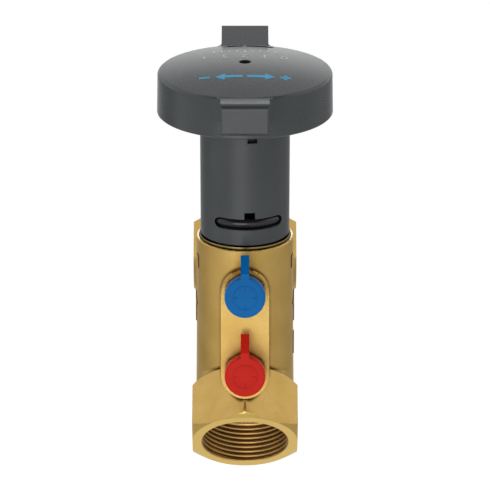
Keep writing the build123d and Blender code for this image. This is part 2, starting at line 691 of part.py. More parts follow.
# Pressure test points: nipple, sealing ring, elastic plug and the tethered cap.
hex_corner_r = nipple_hex / 2 / cos(radians(30))
tether_low = nipple_hex_height + loose
tether_high = tether_low + strap_thick
tether_bore_r = nipple_r + loose
strap_root_r = tether_ring_r - 0.8
cap_roof = nipple_height + 2 * fit
cap_bore_r = nipple_r + fit
stub_low = 0.3 - nipple_hole_depth
stub_edge_r = nipple_thread_r - nipple_edge
plug_top = nipple_height - nipple_edge
for side_name, cap_name, s in (("upstream", "red_cap", upstream_s), ("downstream", "blue_cap", downstream_s)):
    point = on_boss(s).origin
    point_section = Plane(origin=point, x_dir=(1, 0, 0), z_dir=(0, -boss_normal[2], boss_normal[1]))
    point_axis = Axis(point, boss_normal)
    ring_room_r = nipple_thread_r + 2 * nipple_ring_wire_r + loose
    ring_room = 2 * nipple_ring_wire_r
    with BuildPart() as nipple:
        turned([(nipple_bore_r, stub_low), (stub_edge_r, stub_low), (nipple_thread_r, stub_low + nipple_edge),
                (nipple_thread_r, ring_room), (nipple_r, ring_room), (nipple_r, plug_top),
                (nipple_r - nipple_edge, nipple_height), (plug_r, nipple_height), (plug_r, plug_seat),
                (nipple_bore_r, plug_seat)], point_section, point_axis)
        with BuildSketch(on_boss(s)):
            RegularPolygon(hex_corner_r, 6, rotation=90)
            Circle(nipple_thread_r, mode=Mode.SUBTRACT)
        extrude(amount=nipple_hex_height)
        turned([(nipple_thread_r, -1), (ring_room_r, -1), (ring_room_r, ring_room),
                (nipple_thread_r, ring_room)],
               point_section, point_axis, Mode.SUBTRACT)
        turned([(nipple_thread_r, -1), (nipple_thread_r, ring_room), (nipple_thread_r - 1, ring_room),
                (nipple_thread_r - 1, -1)], point_section, point_axis)
        turned([(hex_corner_r - 0.9, nipple_hex_height), (hex_corner_r + 1, nipple_hex_height - 1.1),
                (hex_corner_r + 1, nipple_hex_height + 0.2), (hex_corner_r - 0.9, nipple_hex_height + 0.2)],
               point_section, point_axis, Mode.SUBTRACT)
    nipple.part.label = side_name + "_nipple"
    export_step(nipple.part, f"parts/{side_name}_nipple.step")
    with BuildPart() as nipple_ring:
        with BuildSketch(point_section):
            with Locations((nipple_thread_r + nipple_ring_wire_r + fit, nipple_ring_wire_r)):
                Circle(nipple_ring_wire_r)
        revolve(axis=point_axis)
    nipple_ring.part.label = side_name + "_nipple_o_ring"
    export_step(nipple_ring.part, f"parts/{side_name}_nipple_o_ring.step")
    with BuildPart() as plug:
        turned([(plug_slit_r, plug_seat), (plug_r, plug_seat), (plug_r, plug_top - 0.4),
                (plug_r - 0.4, plug_top),
                (plug_slit_r, plug_top)], point_section, point_axis)
    plug.part.label = side_name + "_nipple_plug"
    export_step(plug.part, f"parts/{side_name}_nipple_plug.step")
    with BuildPart() as cap:
        turned([(cap_bore_r, cap_low), (cap_r - cap_wall_edge, cap_low), (cap_r, cap_low + cap_wall_edge),
                (cap_r, cap_high - cap_edge), (cap_r - 0.3 * cap_edge, cap_high - 0.3 * cap_edge),
                (cap_r - cap_edge, cap_high), (0, cap_high), (0, cap_roof), (cap_bore_r, cap_roof)],
               point_section, point_axis)
        turned([(tether_bore_r, tether_low), (tether_ring_r, tether_low), (tether_ring_r, tether_high),
                (tether_bore_r, tether_high)], point_section, point_axis)
        with BuildSketch(Plane(origin=point, x_dir=boss_rise, z_dir=(1, 0, 0))):
            with BuildLine():
                Polyline((cap_r - strap_thick, cap_high), (strap_fold, cap_high),
                         (strap_reach - 0.2, strap_bend + 0.2), (strap_reach, strap_bend - 0.3),
                         (strap_reach, tether_low + 0.5), (strap_reach - 0.5, tether_low),
                         (strap_root_r, tether_low), (strap_root_r, tether_high),
                         (strap_reach - 1.5 * strap_thick, tether_high),
                         (strap_reach - 1.3 * strap_thick, strap_bend - 0.2),
                         (strap_fold - 0.5, cap_high - strap_thick),
                         (cap_r - strap_thick, cap_high - strap_thick),
                         close=True)
            make_face()
        extrude(amount=strap_width / 2, both=True)
    cap.part.label = cap_name
    export_step(cap.part, f"parts/{cap_name}.step")
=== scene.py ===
from math import cos, pi, radians, sin, sqrt

import bpy
from mathutils import Matrix, Vector


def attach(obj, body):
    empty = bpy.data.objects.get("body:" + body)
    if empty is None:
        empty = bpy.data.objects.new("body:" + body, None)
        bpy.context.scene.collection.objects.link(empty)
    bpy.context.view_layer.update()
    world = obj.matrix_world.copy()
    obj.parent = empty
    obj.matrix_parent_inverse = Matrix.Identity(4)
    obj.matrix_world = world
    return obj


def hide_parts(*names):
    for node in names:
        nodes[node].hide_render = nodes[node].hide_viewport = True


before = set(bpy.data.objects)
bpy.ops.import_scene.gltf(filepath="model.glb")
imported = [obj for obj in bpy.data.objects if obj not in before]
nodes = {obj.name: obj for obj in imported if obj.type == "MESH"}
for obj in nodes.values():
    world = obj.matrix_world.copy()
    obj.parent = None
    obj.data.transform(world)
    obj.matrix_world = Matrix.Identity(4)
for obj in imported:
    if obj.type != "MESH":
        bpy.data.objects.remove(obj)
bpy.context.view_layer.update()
print("frame loaded,", len(nodes), "nodes")

# the stem's own axes: along it, and straight out to the front
stemAngle = radians(50.9)
stemFoot = Vector((0, 0.036, 0))
stemUp = Vector((0, cos(stemAngle), sin(stemAngle)))
stemFront = Vector((0, -sin(stemAngle), cos(stemAngle)))
across = Vector((1, 0, 0))

# the test boss: its middle line, its face's normal and the way up its slope
bossAngle = radians(40.0)
bossFoot = Vector((0, 0.0073, 0.02771))
bossNormal = Vector((0, -sin(bossAngle), cos(bossAngle)))
bossRise = Vector((0, cos(bossAngle), sin(bossAngle)))


def stemPlace(height, turn=0.0):
    # local x runs round to the right, local y in towards the stem's back, local z up the stem
    out = across * sin(turn) + stemFront * cos(turn)
    side = across * cos(turn) - stemFront * sin(turn)
    place = Matrix((side, -out, stemUp)).transposed().to_4x4()
    place.translation = stemFoot + stemUp * height
    return place


def bossPlace(slopePlace, height=0.0):
    place = Matrix((across, bossRise, bossNormal)).transposed().to_4x4()
    place.translation = bossFoot + bossRise * slopePlace + bossNormal * height
    return place


def deselect():
    if bpy.context.object and bpy.context.object.mode != "OBJECT":
        bpy.ops.object.mode_set(mode="OBJECT")
    bpy.ops.object.select_all(action="DESELECT")


def keep(piece, name, place, material, body):
    # the finished piece's place goes into its mesh
    deselect()
    piece.name = name
    piece.data.name = name
    piece.data.transform(place @ piece.matrix_basis)
    piece.matrix_basis = Matrix.Identity(4)
    piece.data.materials.clear()
    piece.data.materials.append(material)
    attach(piece, body)


def applyModifiers(piece):
    deselect()
    bpy.context.view_layer.objects.active = piece
    piece.select_set(True)
    for modifier in list(piece.modifiers):
        bpy.ops.object.modifier_apply(modifier=modifier.name)
    deselect()


def roundEdges(piece, width):
    edge = piece.modifiers.new("edge", "BEVEL")
    edge.width = width
    edge.segments = 2


def smooth(piece, angle=35):
    deselect()
    bpy.context.view_layer.objects.active = piece
    piece.select_set(True)
    bpy.ops.object.shade_smooth_by_angle(angle=radians(angle), keep_sharp_edges=False)
    deselect()


def joinPieces(pieces):
    deselect()
    for piece in pieces:
        piece.select_set(True)
    bpy.context.view_layer.objects.active = pieces[0]
    bpy.ops.object.join()
    joined = bpy.context.object
    deselect()
    return joined


def selectFaces(test):
    # called in edit mode; selects the faces whose middle and normal pass the test
    bpy.ops.mesh.select_mode(type="FACE")
    bpy.ops.mesh.select_all(action="DESELECT")
    bpy.ops.object.mode_set(mode="OBJECT")
    mesh = bpy.context.object.data
    for face in mesh.polygons:
        face.select = test(face.center, face.normal)
    bpy.ops.object.mode_set(mode="EDIT")


# camera first
cameraPlan = {"tilt": 30.06, "place": (0, -0.750236, 1.475936), "lens": 265.784, "sensor": 36,
              "farthest": 20}
bpy.ops.object.camera_add(location=cameraPlan["place"], rotation=(radians(cameraPlan["tilt"]), 0, 0))
camera = bpy.context.object
camera.data.lens = cameraPlan["lens"]
camera.data.sensor_width = cameraPlan["sensor"]
camera.data.clip_end = cameraPlan["farthest"]
bpy.context.scene.camera = camera
print("camera set")


# materials: the mix node's colour sockets are reached by their numbers
mixSocket = {"share": 0, "first": 6, "second": 7, "result": 2}
edgeSamples = 6
noiseRange = (0.3, 0.7)
creaseShadeSight = {"samples": 10, "closed": 0.70, "open": 0.95}


def newMaterial(name, colour, metallic, roughness):
    material = bpy.data.materials.new(name)
    material.use_nodes = True
    shader = material.node_tree.nodes["Principled BSDF"]
    shader.inputs["Base Color"].default_value = (*colour, 1)
    shader.inputs["Metallic"].default_value = metallic
    shader.inputs["Roughness"].default_value = roughness
    return material, material.node_tree, shader


def addNode(tree, kind, inputs=None, **settings):
    node = tree.nodes.new(kind)
    for key, value in settings.items():
        setattr(node, key, value)
    for key, value in (inputs or {}).items():
        node.inputs[key].default_value = value
    return node


def noiseAt(tree, scale, detail=4.0, rough=0.5):
    place = addNode(tree, "ShaderNodeTexCoord")
    noise = addNode(tree, "ShaderNodeTexNoise", {"Scale": scale, "Detail": detail, "Roughness": rough})
    tree.links.new(place.outputs["Object"], noise.inputs["Vector"])
    return noise


def spread(tree, source, low, high, toLow, toHigh):
    ramp = addNode(tree, "ShaderNodeMapRange",
                   {"From Min": low, "From Max": high, "To Min": toLow, "To Max": toHigh})
    tree.links.new(source, ramp.inputs["Value"])
    return ramp.outputs["Result"]


def bumpFrom(tree, shader, source, strength, distance, edge=0.0):
    bump = addNode(tree, "ShaderNodeBump", {"Strength": strength, "Distance": distance})
    tree.links.new(source, bump.inputs["Height"])
    if edge:
        # edges that the mould or the blasting has rounded
        soft = addNode(tree, "ShaderNodeBevel", {"Radius": edge}, samples=edgeSamples)
        tree.links.new(soft.outputs["Normal"], bump.inputs["Normal"])
    tree.links.new(bump.outputs["Normal"], shader.inputs["Normal"])


def tintFrom(tree, shader, source, dark, light):
    ends = {mixSocket["first"]: (*dark, 1), mixSocket["second"]: (*light, 1)}
    mix = addNode(tree, "ShaderNodeMix", ends, data_type="RGBA")
    tree.links.new(source, mix.inputs[mixSocket["share"]])
    tree.links.new(mix.outputs[mixSocket["result"]], shader.inputs["Base Color"])
    return mix.outputs[mixSocket["result"]]


def darkenCreases(tree, shader, colour, reach, dark):
    # painted shade: the colour goes to the dark one where the surface is closed in by its own corners or by
    # parts next to it
    creaseShade = addNode(tree, "ShaderNodeAmbientOcclusion", {"Distance": reach},
                     samples=creaseShadeSight["samples"])
    mix = addNode(tree, "ShaderNodeMix", {mixSocket["first"]: (*dark, 1)}, data_type="RGBA")
    unshadedShare = spread(tree, creaseShade.outputs["AO"], creaseShadeSight["closed"], creaseShadeSight["open"], 0, 1)
    tree.links.new(unshadedShare, mix.inputs[mixSocket["share"]])
    tree.links.new(colour, mix.inputs[mixSocket["second"]])
    tree.links.new(mix.outputs[mixSocket["result"]], shader.inputs["Base Color"])


# the crease colour and reach give the casting's painted shade
castSkin = {"dark": (0.61, 0.40, 0.115), "light": (0.68, 0.46, 0.15), "creaseShade": (0.17, 0.078, 0.021),
            "creaseShadeReach": 0.0020, "grainScale": 1500, "grainDetail": 6, "grainRough": 0.62,
            "driftScale": 90, "driftDetail": 3, "bump": 0.32, "bumpDepth": 0.00022, "edge": 0.0004,
            "smoothest": 0.42, "roughest": 0.56}
turnedSkin = {"stretch": (1, 9, 9), "scale": 700, "detail": 3.0, "bump": 0.12, "bumpDepth": 0.00008,
              "smoother": 0.05, "rougher": 0.08}
mouldSkin = {"grainScale": 2600, "grainDetail": 3, "driftScale": 60, "driftDetail": 2,
             "driftRange": (0.35, 0.65), "bump": 0.25, "smoother": 0.04, "rougher": 0.05}
bareBrass = {"colour": (0.66, 0.47, 0.19), "roughness": 0.32, "shade": (0.012, 0.008, 0.004),
             "shadeReach": 0.009}


def castBronze():
    # fine-blasted casting: soft grain, slight colour drift, painted shade in its creases
    plan = castSkin
    material, tree, shader = newMaterial("castBronze", plan["dark"], 1.0, plan["smoothest"])
    grain = noiseAt(tree, plan["grainScale"], plan["grainDetail"], plan["grainRough"])
    drift = noiseAt(tree, plan["driftScale"], plan["driftDetail"])
    bumpFrom(tree, shader, grain.outputs["Fac"], plan["bump"], plan["bumpDepth"], plan["edge"])
    tint = tintFrom(tree, shader, spread(tree, drift.outputs["Fac"], *noiseRange, 0, 1), plan["dark"],
                    plan["light"])
    darkenCreases(tree, shader, tint, plan["creaseShadeReach"], plan["creaseShade"])
    roughness = spread(tree, grain.outputs["Fac"], *noiseRange, plan["smoothest"], plan["roughest"])
    tree.links.new(roughness, shader.inputs["Roughness"])
    return material


def turnedBrass(name, colour, roughness):
    # machined brass: the grain is stretched round the cut
    material, tree, shader = newMaterial(name, colour, 1.0, roughness)
    plan = turnedSkin
    place = addNode(tree, "ShaderNodeTexCoord")
    mapping = addNode(tree, "ShaderNodeMapping", {"Scale": plan["stretch"]})
    noise = addNode(tree, "ShaderNodeTexNoise", {"Scale": plan["scale"], "Detail": plan["detail"]})
    tree.links.new(place.outputs["Object"], mapping.inputs["Vector"])
    tree.links.new(mapping.outputs["Vector"], noise.inputs["Vector"])
    bumpFrom(tree, shader, noise.outputs["Fac"], plan["bump"], plan["bumpDepth"])
    tree.links.new(spread(tree, noise.outputs["Fac"], *noiseRange, roughness - plan["smoother"],
                          roughness + plan["rougher"]), shader.inputs["Roughness"])
    return material


def mouldedPlastic(name, colour, roughness, grainDepth=0.00006, lift=1.12, edge=0.0, sheen=0.5):
    # fine spark-eroded mould texture with a faint colour drift
    material, tree, shader = newMaterial(name, colour, 0.0, roughness)
    shader.inputs["Specular IOR Level"].default_value = sheen
    plan = mouldSkin
    grain = noiseAt(tree, plan["grainScale"], plan["grainDetail"])
    drift = noiseAt(tree, plan["driftScale"], plan["driftDetail"])
    bumpFrom(tree, shader, grain.outputs["Fac"], plan["bump"], grainDepth, edge)
    tintFrom(tree, shader, spread(tree, drift.outputs["Fac"], *plan["driftRange"], 0, 1), colour,
             tuple(channel * lift for channel in colour))
    tree.links.new(spread(tree, grain.outputs["Fac"], *noiseRange, roughness - plan["smoother"],
                          roughness + plan["rougher"]), shader.inputs["Roughness"])
    return material


def shelteredBrass():
    # turned brass with painted shade where the sleeve closes over it
    plan = bareBrass
    material = turnedBrass("shelteredBrass", plan["colour"], plan["roughness"])
    tree = material.node_tree
    plain = addNode(tree, "ShaderNodeRGB")
    plain.outputs["Color"].default_value = (*plan["colour"], 1)
    darkenCreases(tree, tree.nodes["Principled BSDF"], plain.outputs["Color"], plan["shadeReach"],
                  plan["shade"])
    return material


finishes = {
    "cast": castBronze(),
    "face": turnedBrass("machinedFace", (0.80, 0.55, 0.155), 0.36),
    # painted highlight: the gasket seat on the neck top gets a paler copy of the machined brass
    "seat": turnedBrass("seatHighlightBrass", (0.95, 0.82, 0.50), 0.22),
    # painted shade: the threads inside the ports get a darker copy of the machined brass
    "thread": turnedBrass("shadedThreadBrass", (0.54, 0.335, 0.115), 0.32),
    "brass": turnedBrass("turnedBrass", bareBrass["colour"], bareBrass["roughness"]),
    "shadedBonnet": shelteredBrass(),
    "sleeve": mouldedPlastic("sleevePlastic", (0.046, 0.052, 0.056), 0.38, edge=0.0003),
    "wheel": mouldedPlastic("wheelPlastic", (0.046, 0.053, 0.056), 0.28, edge=0.0003),
    "dial": mouldedPlastic("dialPlastic", (0.62, 0.62, 0.60), 0.45),
    "drum": mouldedPlastic("drumPlastic", (0.014, 0.015, 0.016), 0.5),
    "clip": mouldedPlastic("clipPlastic", (0.012, 0.012, 0.013), 0.16, 0.00001),
    "red": mouldedPlastic("redPlastic", (0.66, 0.016, 0.007), 0.42, 0.00003, edge=0.0003, sheen=0.12),
    "blue": mouldedPlastic("bluePlastic", (0.001, 0.150, 0.46), 0.42, 0.00003, edge=0.0003, sheen=0.12),
    "rubber": mouldedPlastic("sealRubber", (0.016, 0.016, 0.016), 0.62),
    "slick": mouldedPlastic("slickPlastic", (0.80, 0.80, 0.78), 0.38),
    "steel": turnedBrass("springSteel", (0.52, 0.52, 0.54), 0.30),
    "cyanPrint": mouldedPlastic("cyanPrint", (0.048, 0.42, 0.70), 0.5, 0.00001, 1.03),
    "greyPrint": mouldedPlastic("greyPrint", (0.66, 0.66, 0.64), 0.5, 0.00001, 1.03),
    "blackPrint": mouldedPlastic("blackPrint", (0.02, 0.02, 0.02), 0.5, 0.00001, 1.03),
}

nodeFinish = {
    "valve_body": "cast", "bonnet": "shadedBonnet", "bonnet_gasket": "rubber", "sleeve": "sleeve",
    "scale_disc": "dial", "upstream_nipple": "brass", "downstream_nipple": "brass",
    "upstream_nipple_o_ring": "rubber", "downstream_nipple_o_ring": "rubber",
    "upstream_nipple_plug": "rubber", "downstream_nipple_plug": "rubber", "handwheel": "wheel",
    "wheel_snap_ring": "steel", "stem": "brass", "stem_o_ring_lower": "rubber",
    "stem_o_ring_upper": "rubber", "stem_circlip": "steel", "thrust_washer": "slick",
    "disc_carrier": "brass", "disc_seal": "slick", "throttle_plug": "brass", "turns_drum": "drum",
    "presetting_spindle": "brass", "presetting_o_ring": "rubber", "retaining_clip": "clip",
    "red_cap": "red", "blue_cap": "blue",
}
for nodeName, finish in nodeFinish.items():
    nodes[nodeName].data.materials.clear()
    nodes[nodeName].data.materials.append(finishes[finish])
print("finishes on the nodes")


# casting: a merged copy of the node, with the pipe threads cut into both ends
# shoulder, foot and skirt are corners of half a tooth: how far along the axis, and how far out from it
inletFace = 0.0
outletFace = 0.1106
portThread = {"pitch": 0.002309, "rootRadius": 0.0208, "tip": 0.0211, "shoulder": (0.0005, 0.02014),
              "foot": (0.00082, 0.01974), "skirt": (0.00115, 0.01944), "back": 0.0189,
              "rootRound": 0.00035, "rootParts": 10, "crestRound": 0.00015, "crestParts": 2,
              "from": 0.0012, "turns": 7.5, "steps": 80, "blank": 0.001, "near": 0.00001, "tipNear": 0.0001}

# corners closer than this are one
mergeReach = 0.000002


def copyNode(nodeName, name):
    piece = nodes[nodeName].copy()
    piece.data = nodes[nodeName].data.copy()
    piece.name = name
    bpy.context.scene.collection.objects.link(piece)
    deselect()
    bpy.context.view_layer.objects.active = piece
    piece.select_set(True)
    bpy.ops.object.mode_set(mode="EDIT")
    bpy.ops.mesh.select_all(action="SELECT")
    bpy.ops.mesh.remove_doubles(threshold=mergeReach)
    bpy.ops.mesh.normals_make_consistent(inside=False)
    bpy.ops.object.mode_set(mode="OBJECT")
    return piece


def roundCorners(tool, test, offset, segments):
    for corner in tool.data.vertices:
        corner.select = test(corner.co)
    bpy.ops.object.mode_set(mode="EDIT")
    bpy.ops.mesh.bevel(affect="VERTICES", offset=offset, segments=segments)
    bpy.ops.object.mode_set(mode="OBJECT")


def threadTooth():
    # its tip is rounded and its foot flares, so that the crests come out rounded
    plan = portThread
    half = [plan["shoulder"], plan["foot"], plan["skirt"], (plan["skirt"][0], plan["back"])]
    outline = [(0, plan["tip"])] + half + [(-along, away) for along, away in reversed(half)]
    deselect()
    bpy.ops.mesh.primitive_circle_add(vertices=len(outline), radius=plan["blank"], fill_type="NGON")
    tool = bpy.context.object
    bpy.ops.object.mode_set(mode="EDIT")
    bpy.ops.mesh.select_mode(type="VERT")
    bpy.ops.mesh.select_all(action="DESELECT")
    bpy.ops.object.mode_set(mode="OBJECT")
    for index, (along, away) in enumerate(outline):
        for corner in tool.data.vertices:
            corner.select = corner.index == index
        move = Vector((along, away, 0)) - tool.data.vertices[index].co
        bpy.ops.object.mode_set(mode="EDIT")
        bpy.ops.transform.translate(value=move)
        bpy.ops.object.mode_set(mode="OBJECT")
    crestLines = (plan["shoulder"][1], plan["foot"][1])
    roundCorners(tool, lambda place: place.y > plan["tip"] - plan["tipNear"],
                 plan["rootRound"], plan["rootParts"])
    roundCorners(tool, lambda place: min(abs(place.y - line) for line in crestLines) < plan["near"],
                 plan["crestRound"], plan["crestParts"])
    # local y becomes the way out from the axis, local x the way along it
    high = max(corner.co.y for corner in tool.data.vertices)
    tool.data.transform(Matrix(((0, 1, 0, plan["rootRadius"] - high), (0, 0, 1, 0),
                                (1, 0, 0, plan["from"]), (0, 0, 0, 1))))
    return tool


def threadTool(faceY, inward):
    # a tap: the tooth wound round the pipe's axis, closed, and turned to look into its port
    plan = portThread
    tool = threadTooth()
    screw = tool.modifiers.new("wind", "SCREW")
    screw.axis = "Z"
    screw.angle = 2 * pi * plan["turns"]
    screw.screw_offset = plan["pitch"] * plan["turns"]
    screw.steps = int(plan["steps"] * plan["turns"])
    screw.render_steps = screw.steps
    screw.use_merge_vertices = True
    screw.merge_threshold = mergeReach / 2
    applyModifiers(tool)
    bpy.context.view_layer.objects.active = tool
    tool.select_set(True)
    bpy.ops.object.mode_set(mode="EDIT")
    bpy.ops.mesh.select_all(action="SELECT")
    bpy.ops.mesh.fill_holes(sides=0)
    bpy.ops.mesh.normals_make_consistent(inside=False)
    bpy.ops.object.mode_set(mode="OBJECT")
    # the winding can leave the tap inside out
    if sum(face.center.dot(face.normal) * face.area for face in tool.data.polygons) < 0:
        bpy.ops.object.mode_set(mode="EDIT")
        bpy.ops.mesh.select_all(action="SELECT")
        bpy.ops.mesh.flip_normals()
        bpy.ops.object.mode_set(mode="OBJECT")
    turnIn = Matrix.Rotation(-pi / 2 if inward > 0 else pi / 2, 4, "X")
    tool.data.transform(Matrix.Translation((0, faceY, 0)) @ turnIn)
    return tool


casting = copyNode("valve_body", "casting")
for tool in (threadTool(inletFace, 1), threadTool(outletFace, -1)):
    cut = casting.modifiers.new("tap", "BOOLEAN")
    cut.operation = "DIFFERENCE"
    cut.solver = "EXACT"
    cut.object = tool
    applyModifiers(casting)
    bpy.data.objects.remove(tool)
casting.data.materials.clear()
castingSlots = {"cast": 0, "face": 1, "thread": 2, "seat": 3}
for finish in castingSlots:
    casting.data.materials.append(finishes[finish])
machined = {"boreRadius": 0.0213, "wayDepth": 0.027, "faceDepth": 0.00005, "chamferDepth": 0.0021,
            "chamferTilt": 0.3, "neckTop": 0.0683, "neckRadius": 0.0223, "neckDepth": 0.0004,
            "neckFlat": 0.98}
for face in casting.data.polygons:
    middle = face.center
    fromEnd = min(middle.y - inletFace, outletFace - middle.y)
    fromAxis = sqrt(middle.x ** 2 + middle.z ** 2)
    upStem = (middle - stemFoot).dot(stemUp)
    fromStem = (middle - stemFoot - stemUp * upStem).length
    onChamfer = fromEnd < machined["chamferDepth"] and fromAxis > machined["boreRadius"]
    fromTop = abs(upStem - machined["neckTop"])
    onNeckTop = fromTop < machined["neckDepth"] and fromStem < machined["neckRadius"]
    if fromEnd < machined["faceDepth"] or (onChamfer and abs(face.normal.y) > machined["chamferTilt"]):
        face.material_index = castingSlots["face"]
    # the neck top's seat gets the paler brass, a painted highlight
    elif onNeckTop and face.normal.dot(stemUp) > machined["neckFlat"]:
        face.material_index = castingSlots["seat"]
    # the ports' threads get the darker brass, painted shade
    elif fromAxis < machined["boreRadius"] and fromEnd < machined["wayDepth"]:
        face.material_index = castingSlots["thread"]
castingShade = {"sharpest": 14, "bySize": 90}
smooth(casting, castingShade["sharpest"])
weigh = casting.modifiers.new("weigh", "WEIGHTED_NORMAL")
weigh.keep_sharp = True
weigh.weight = castingShade["bySize"]
applyModifiers(casting)

# the neck's round wall keeps its true normals, so its long thin facets leave no streaks
neckWall = {"radius": 0.0221, "slack": 0.00003, "low": 0.010, "high": 0.0685, "lean": 0.995}


def outFromStem(place):
    away = place - stemFoot
    return away - stemUp * away.dot(stemUp)


mesh = casting.data
cornerNormals = [Vector(corner.vector) for corner in mesh.corner_normals]
for face in mesh.polygons:
    places = [mesh.vertices[index].co for index in face.vertices]
    onRadius = all(abs(outFromStem(place).length - neckWall["radius"]) < neckWall["slack"]
                   for place in places)
    onHeight = neckWall["low"] < (face.center - stemFoot).dot(stemUp) < neckWall["high"]
    if onRadius and onHeight and outFromStem(face.center).normalized().dot(face.normal) > neckWall["lean"]:
        for loop, place in zip(face.loop_indices, places):
            cornerNormals[loop] = outFromStem(place).normalized()
mesh.normals_split_custom_set(cornerNormals)
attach(casting, "valve")
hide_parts("valve_body")
print("casting threaded,", len(casting.data.polygons), "faces")


# printed and raised marks
arrowShaft = 0.36
figureSteps = 4
barCuts = 2


def layOn(piece, carrier, place, rise, thick, cuts=1):
    # drapes a flat outline on the surface below it and gives it a little thickness
    piece.matrix_basis = place
    deselect()
    bpy.context.view_layer.objects.active = piece
    piece.select_set(True)
    bpy.ops.object.mode_set(mode="EDIT")
    bpy.ops.mesh.select_all(action="SELECT")
    bpy.ops.mesh.remove_doubles(threshold=mergeReach / 2)
    bpy.ops.mesh.subdivide(number_cuts=cuts)
    selectFaces(lambda middle, normal: normal.z < 0)
    bpy.ops.mesh.flip_normals()
    bpy.ops.object.mode_set(mode="OBJECT")
    drape = piece.modifiers.new("drape", "SHRINKWRAP")
    drape.target = carrier
    drape.wrap_method = "PROJECT"
    drape.use_project_z = True
    drape.use_negative_direction = True
    drape.use_positive_direction = False
    drape.offset = rise
    skin = piece.modifiers.new("skin", "SOLIDIFY")
    skin.thickness = thick
    skin.offset = 1
    applyModifiers(piece)
    return piece


def figure(words, size):
    deselect()
    bpy.ops.object.text_add()
    piece = bpy.context.object
    piece.data.body = words
    piece.data.size = size
    piece.data.align_x = "CENTER"
    piece.data.align_y = "CENTER"
    piece.data.resolution_u = figureSteps
    bpy.ops.object.convert(target="MESH")
    return bpy.context.object


def flatBar(width, height, place=(0, 0)):
    deselect()
    bpy.ops.mesh.primitive_plane_add(size=1, location=(place[0], place[1], 0))
    piece = bpy.context.object
    bpy.ops.object.mode_set(mode="EDIT")
    bpy.ops.mesh.select_all(action="SELECT")
    bpy.ops.transform.resize(value=(width, height, 1))
    bpy.ops.mesh.subdivide(number_cuts=barCuts)
    bpy.ops.object.mode_set(mode="OBJECT")
    deselect()
    piece.select_set(True)
    bpy.context.view_layer.objects.active = piece
    bpy.ops.object.transform_apply(location=True, rotation=False, scale=False)
    return piece


def flatArrow(length, width, point):
    # a bar along x whose far edge is drawn out to a point
    shaft = flatBar(length - point, width * arrowShaft, (-point / 2, 0))
    deselect()
    bpy.ops.mesh.primitive_circle_add(vertices=3, radius=1, fill_type="NGON")
    head = bpy.context.object
    bpy.ops.object.mode_set(mode="EDIT")
    bpy.ops.mesh.select_all(action="SELECT")
    bpy.ops.transform.resize(value=(width / sqrt(3), point / 1.5, 1), center_override=(0, 0, 0))
    bpy.ops.object.mode_set(mode="OBJECT")
    head.data.transform(Matrix.Translation((length / 2 - point * 2 / 3, 0, 0))
                        @ Matrix.Rotation(-pi / 2, 4, "Z"))
    return joinPieces([shaft, head])


# the wheel's print: close and open arrows with their signs, and turn numbers behind the hole
wheelPrint = {"level": 0.160, "arrowOut": 0.0178, "arrowSide": 0.0072, "arrowLength": 0.0125,
              "arrowWidth": 0.0066, "arrowPoint": 0.0045, "signLength": 0.0046, "signWidth": 0.0016,
              "signSide": 0.0180, "numberOut": -0.0092, "numberSize": 0.0074, "numberStep": 0.0088,
              "tickOut": -0.0182, "tickStep": 0.0035, "tickWidth": 0.0009, "longTick": 0.0040,
              "shortTick": 0.0026, "rise": 0.00003, "thick": 0.00005}
lastNumber = 4
ticksEachSide = 4
wheelTop = stemPlace(wheelPrint["level"])
halfTurn = Matrix.Rotation(pi, 4, "Z")
cyanPieces = []
for side in (-1, 1):
    arrow = flatArrow(wheelPrint["arrowLength"], wheelPrint["arrowWidth"], wheelPrint["arrowPoint"])
    arrow.data.transform(Matrix.Rotation(0 if side > 0 else pi, 4, "Z"))
    arrow.data.transform(Matrix.Translation((side * wheelPrint["arrowSide"], -wheelPrint["arrowOut"], 0)))
    cyanPieces.append(arrow)
signBars = ((-1, "signLength", "signWidth"), (1, "signLength", "signWidth"),
            (1, "signWidth", "signLength"))
for side, wide, high in signBars:
    cyanPieces.append(flatBar(wheelPrint[wide], wheelPrint[high],
                              (side * wheelPrint["signSide"], -wheelPrint["arrowOut"])))
cyanMark = layOn(joinPieces(cyanPieces), nodes["handwheel"], wheelTop, wheelPrint["rise"],
                 wheelPrint["thick"], 2)
keep(cyanMark, "wheelArrows", Matrix.Identity(4), finishes["cyanPrint"], "wheel")
greyPieces = []
for number in range(lastNumber + 1):
    digit = figure(str(number), wheelPrint["numberSize"])
    side = (lastNumber / 2 - number) * wheelPrint["numberStep"]
    digit.data.transform(Matrix.Translation((side, -wheelPrint["numberOut"], 0)) @ halfTurn)
    greyPieces.append(digit)
for tick in range(-ticksEachSide, ticksEachSide + 1):
    height = wheelPrint["shortTick" if tick % ticksEachSide else "longTick"]
    greyPieces.append(flatBar(wheelPrint["tickWidth"], height,
                              (tick * wheelPrint["tickStep"], -wheelPrint["tickOut"])))
greyMark = layOn(joinPieces(greyPieces), nodes["handwheel"], wheelTop, wheelPrint["rise"],
                 wheelPrint["thick"])
keep(greyMark, "wheelNumbers", Matrix.Identity(4), finishes["greyPrint"], "wheel")
print("wheel marks printed")

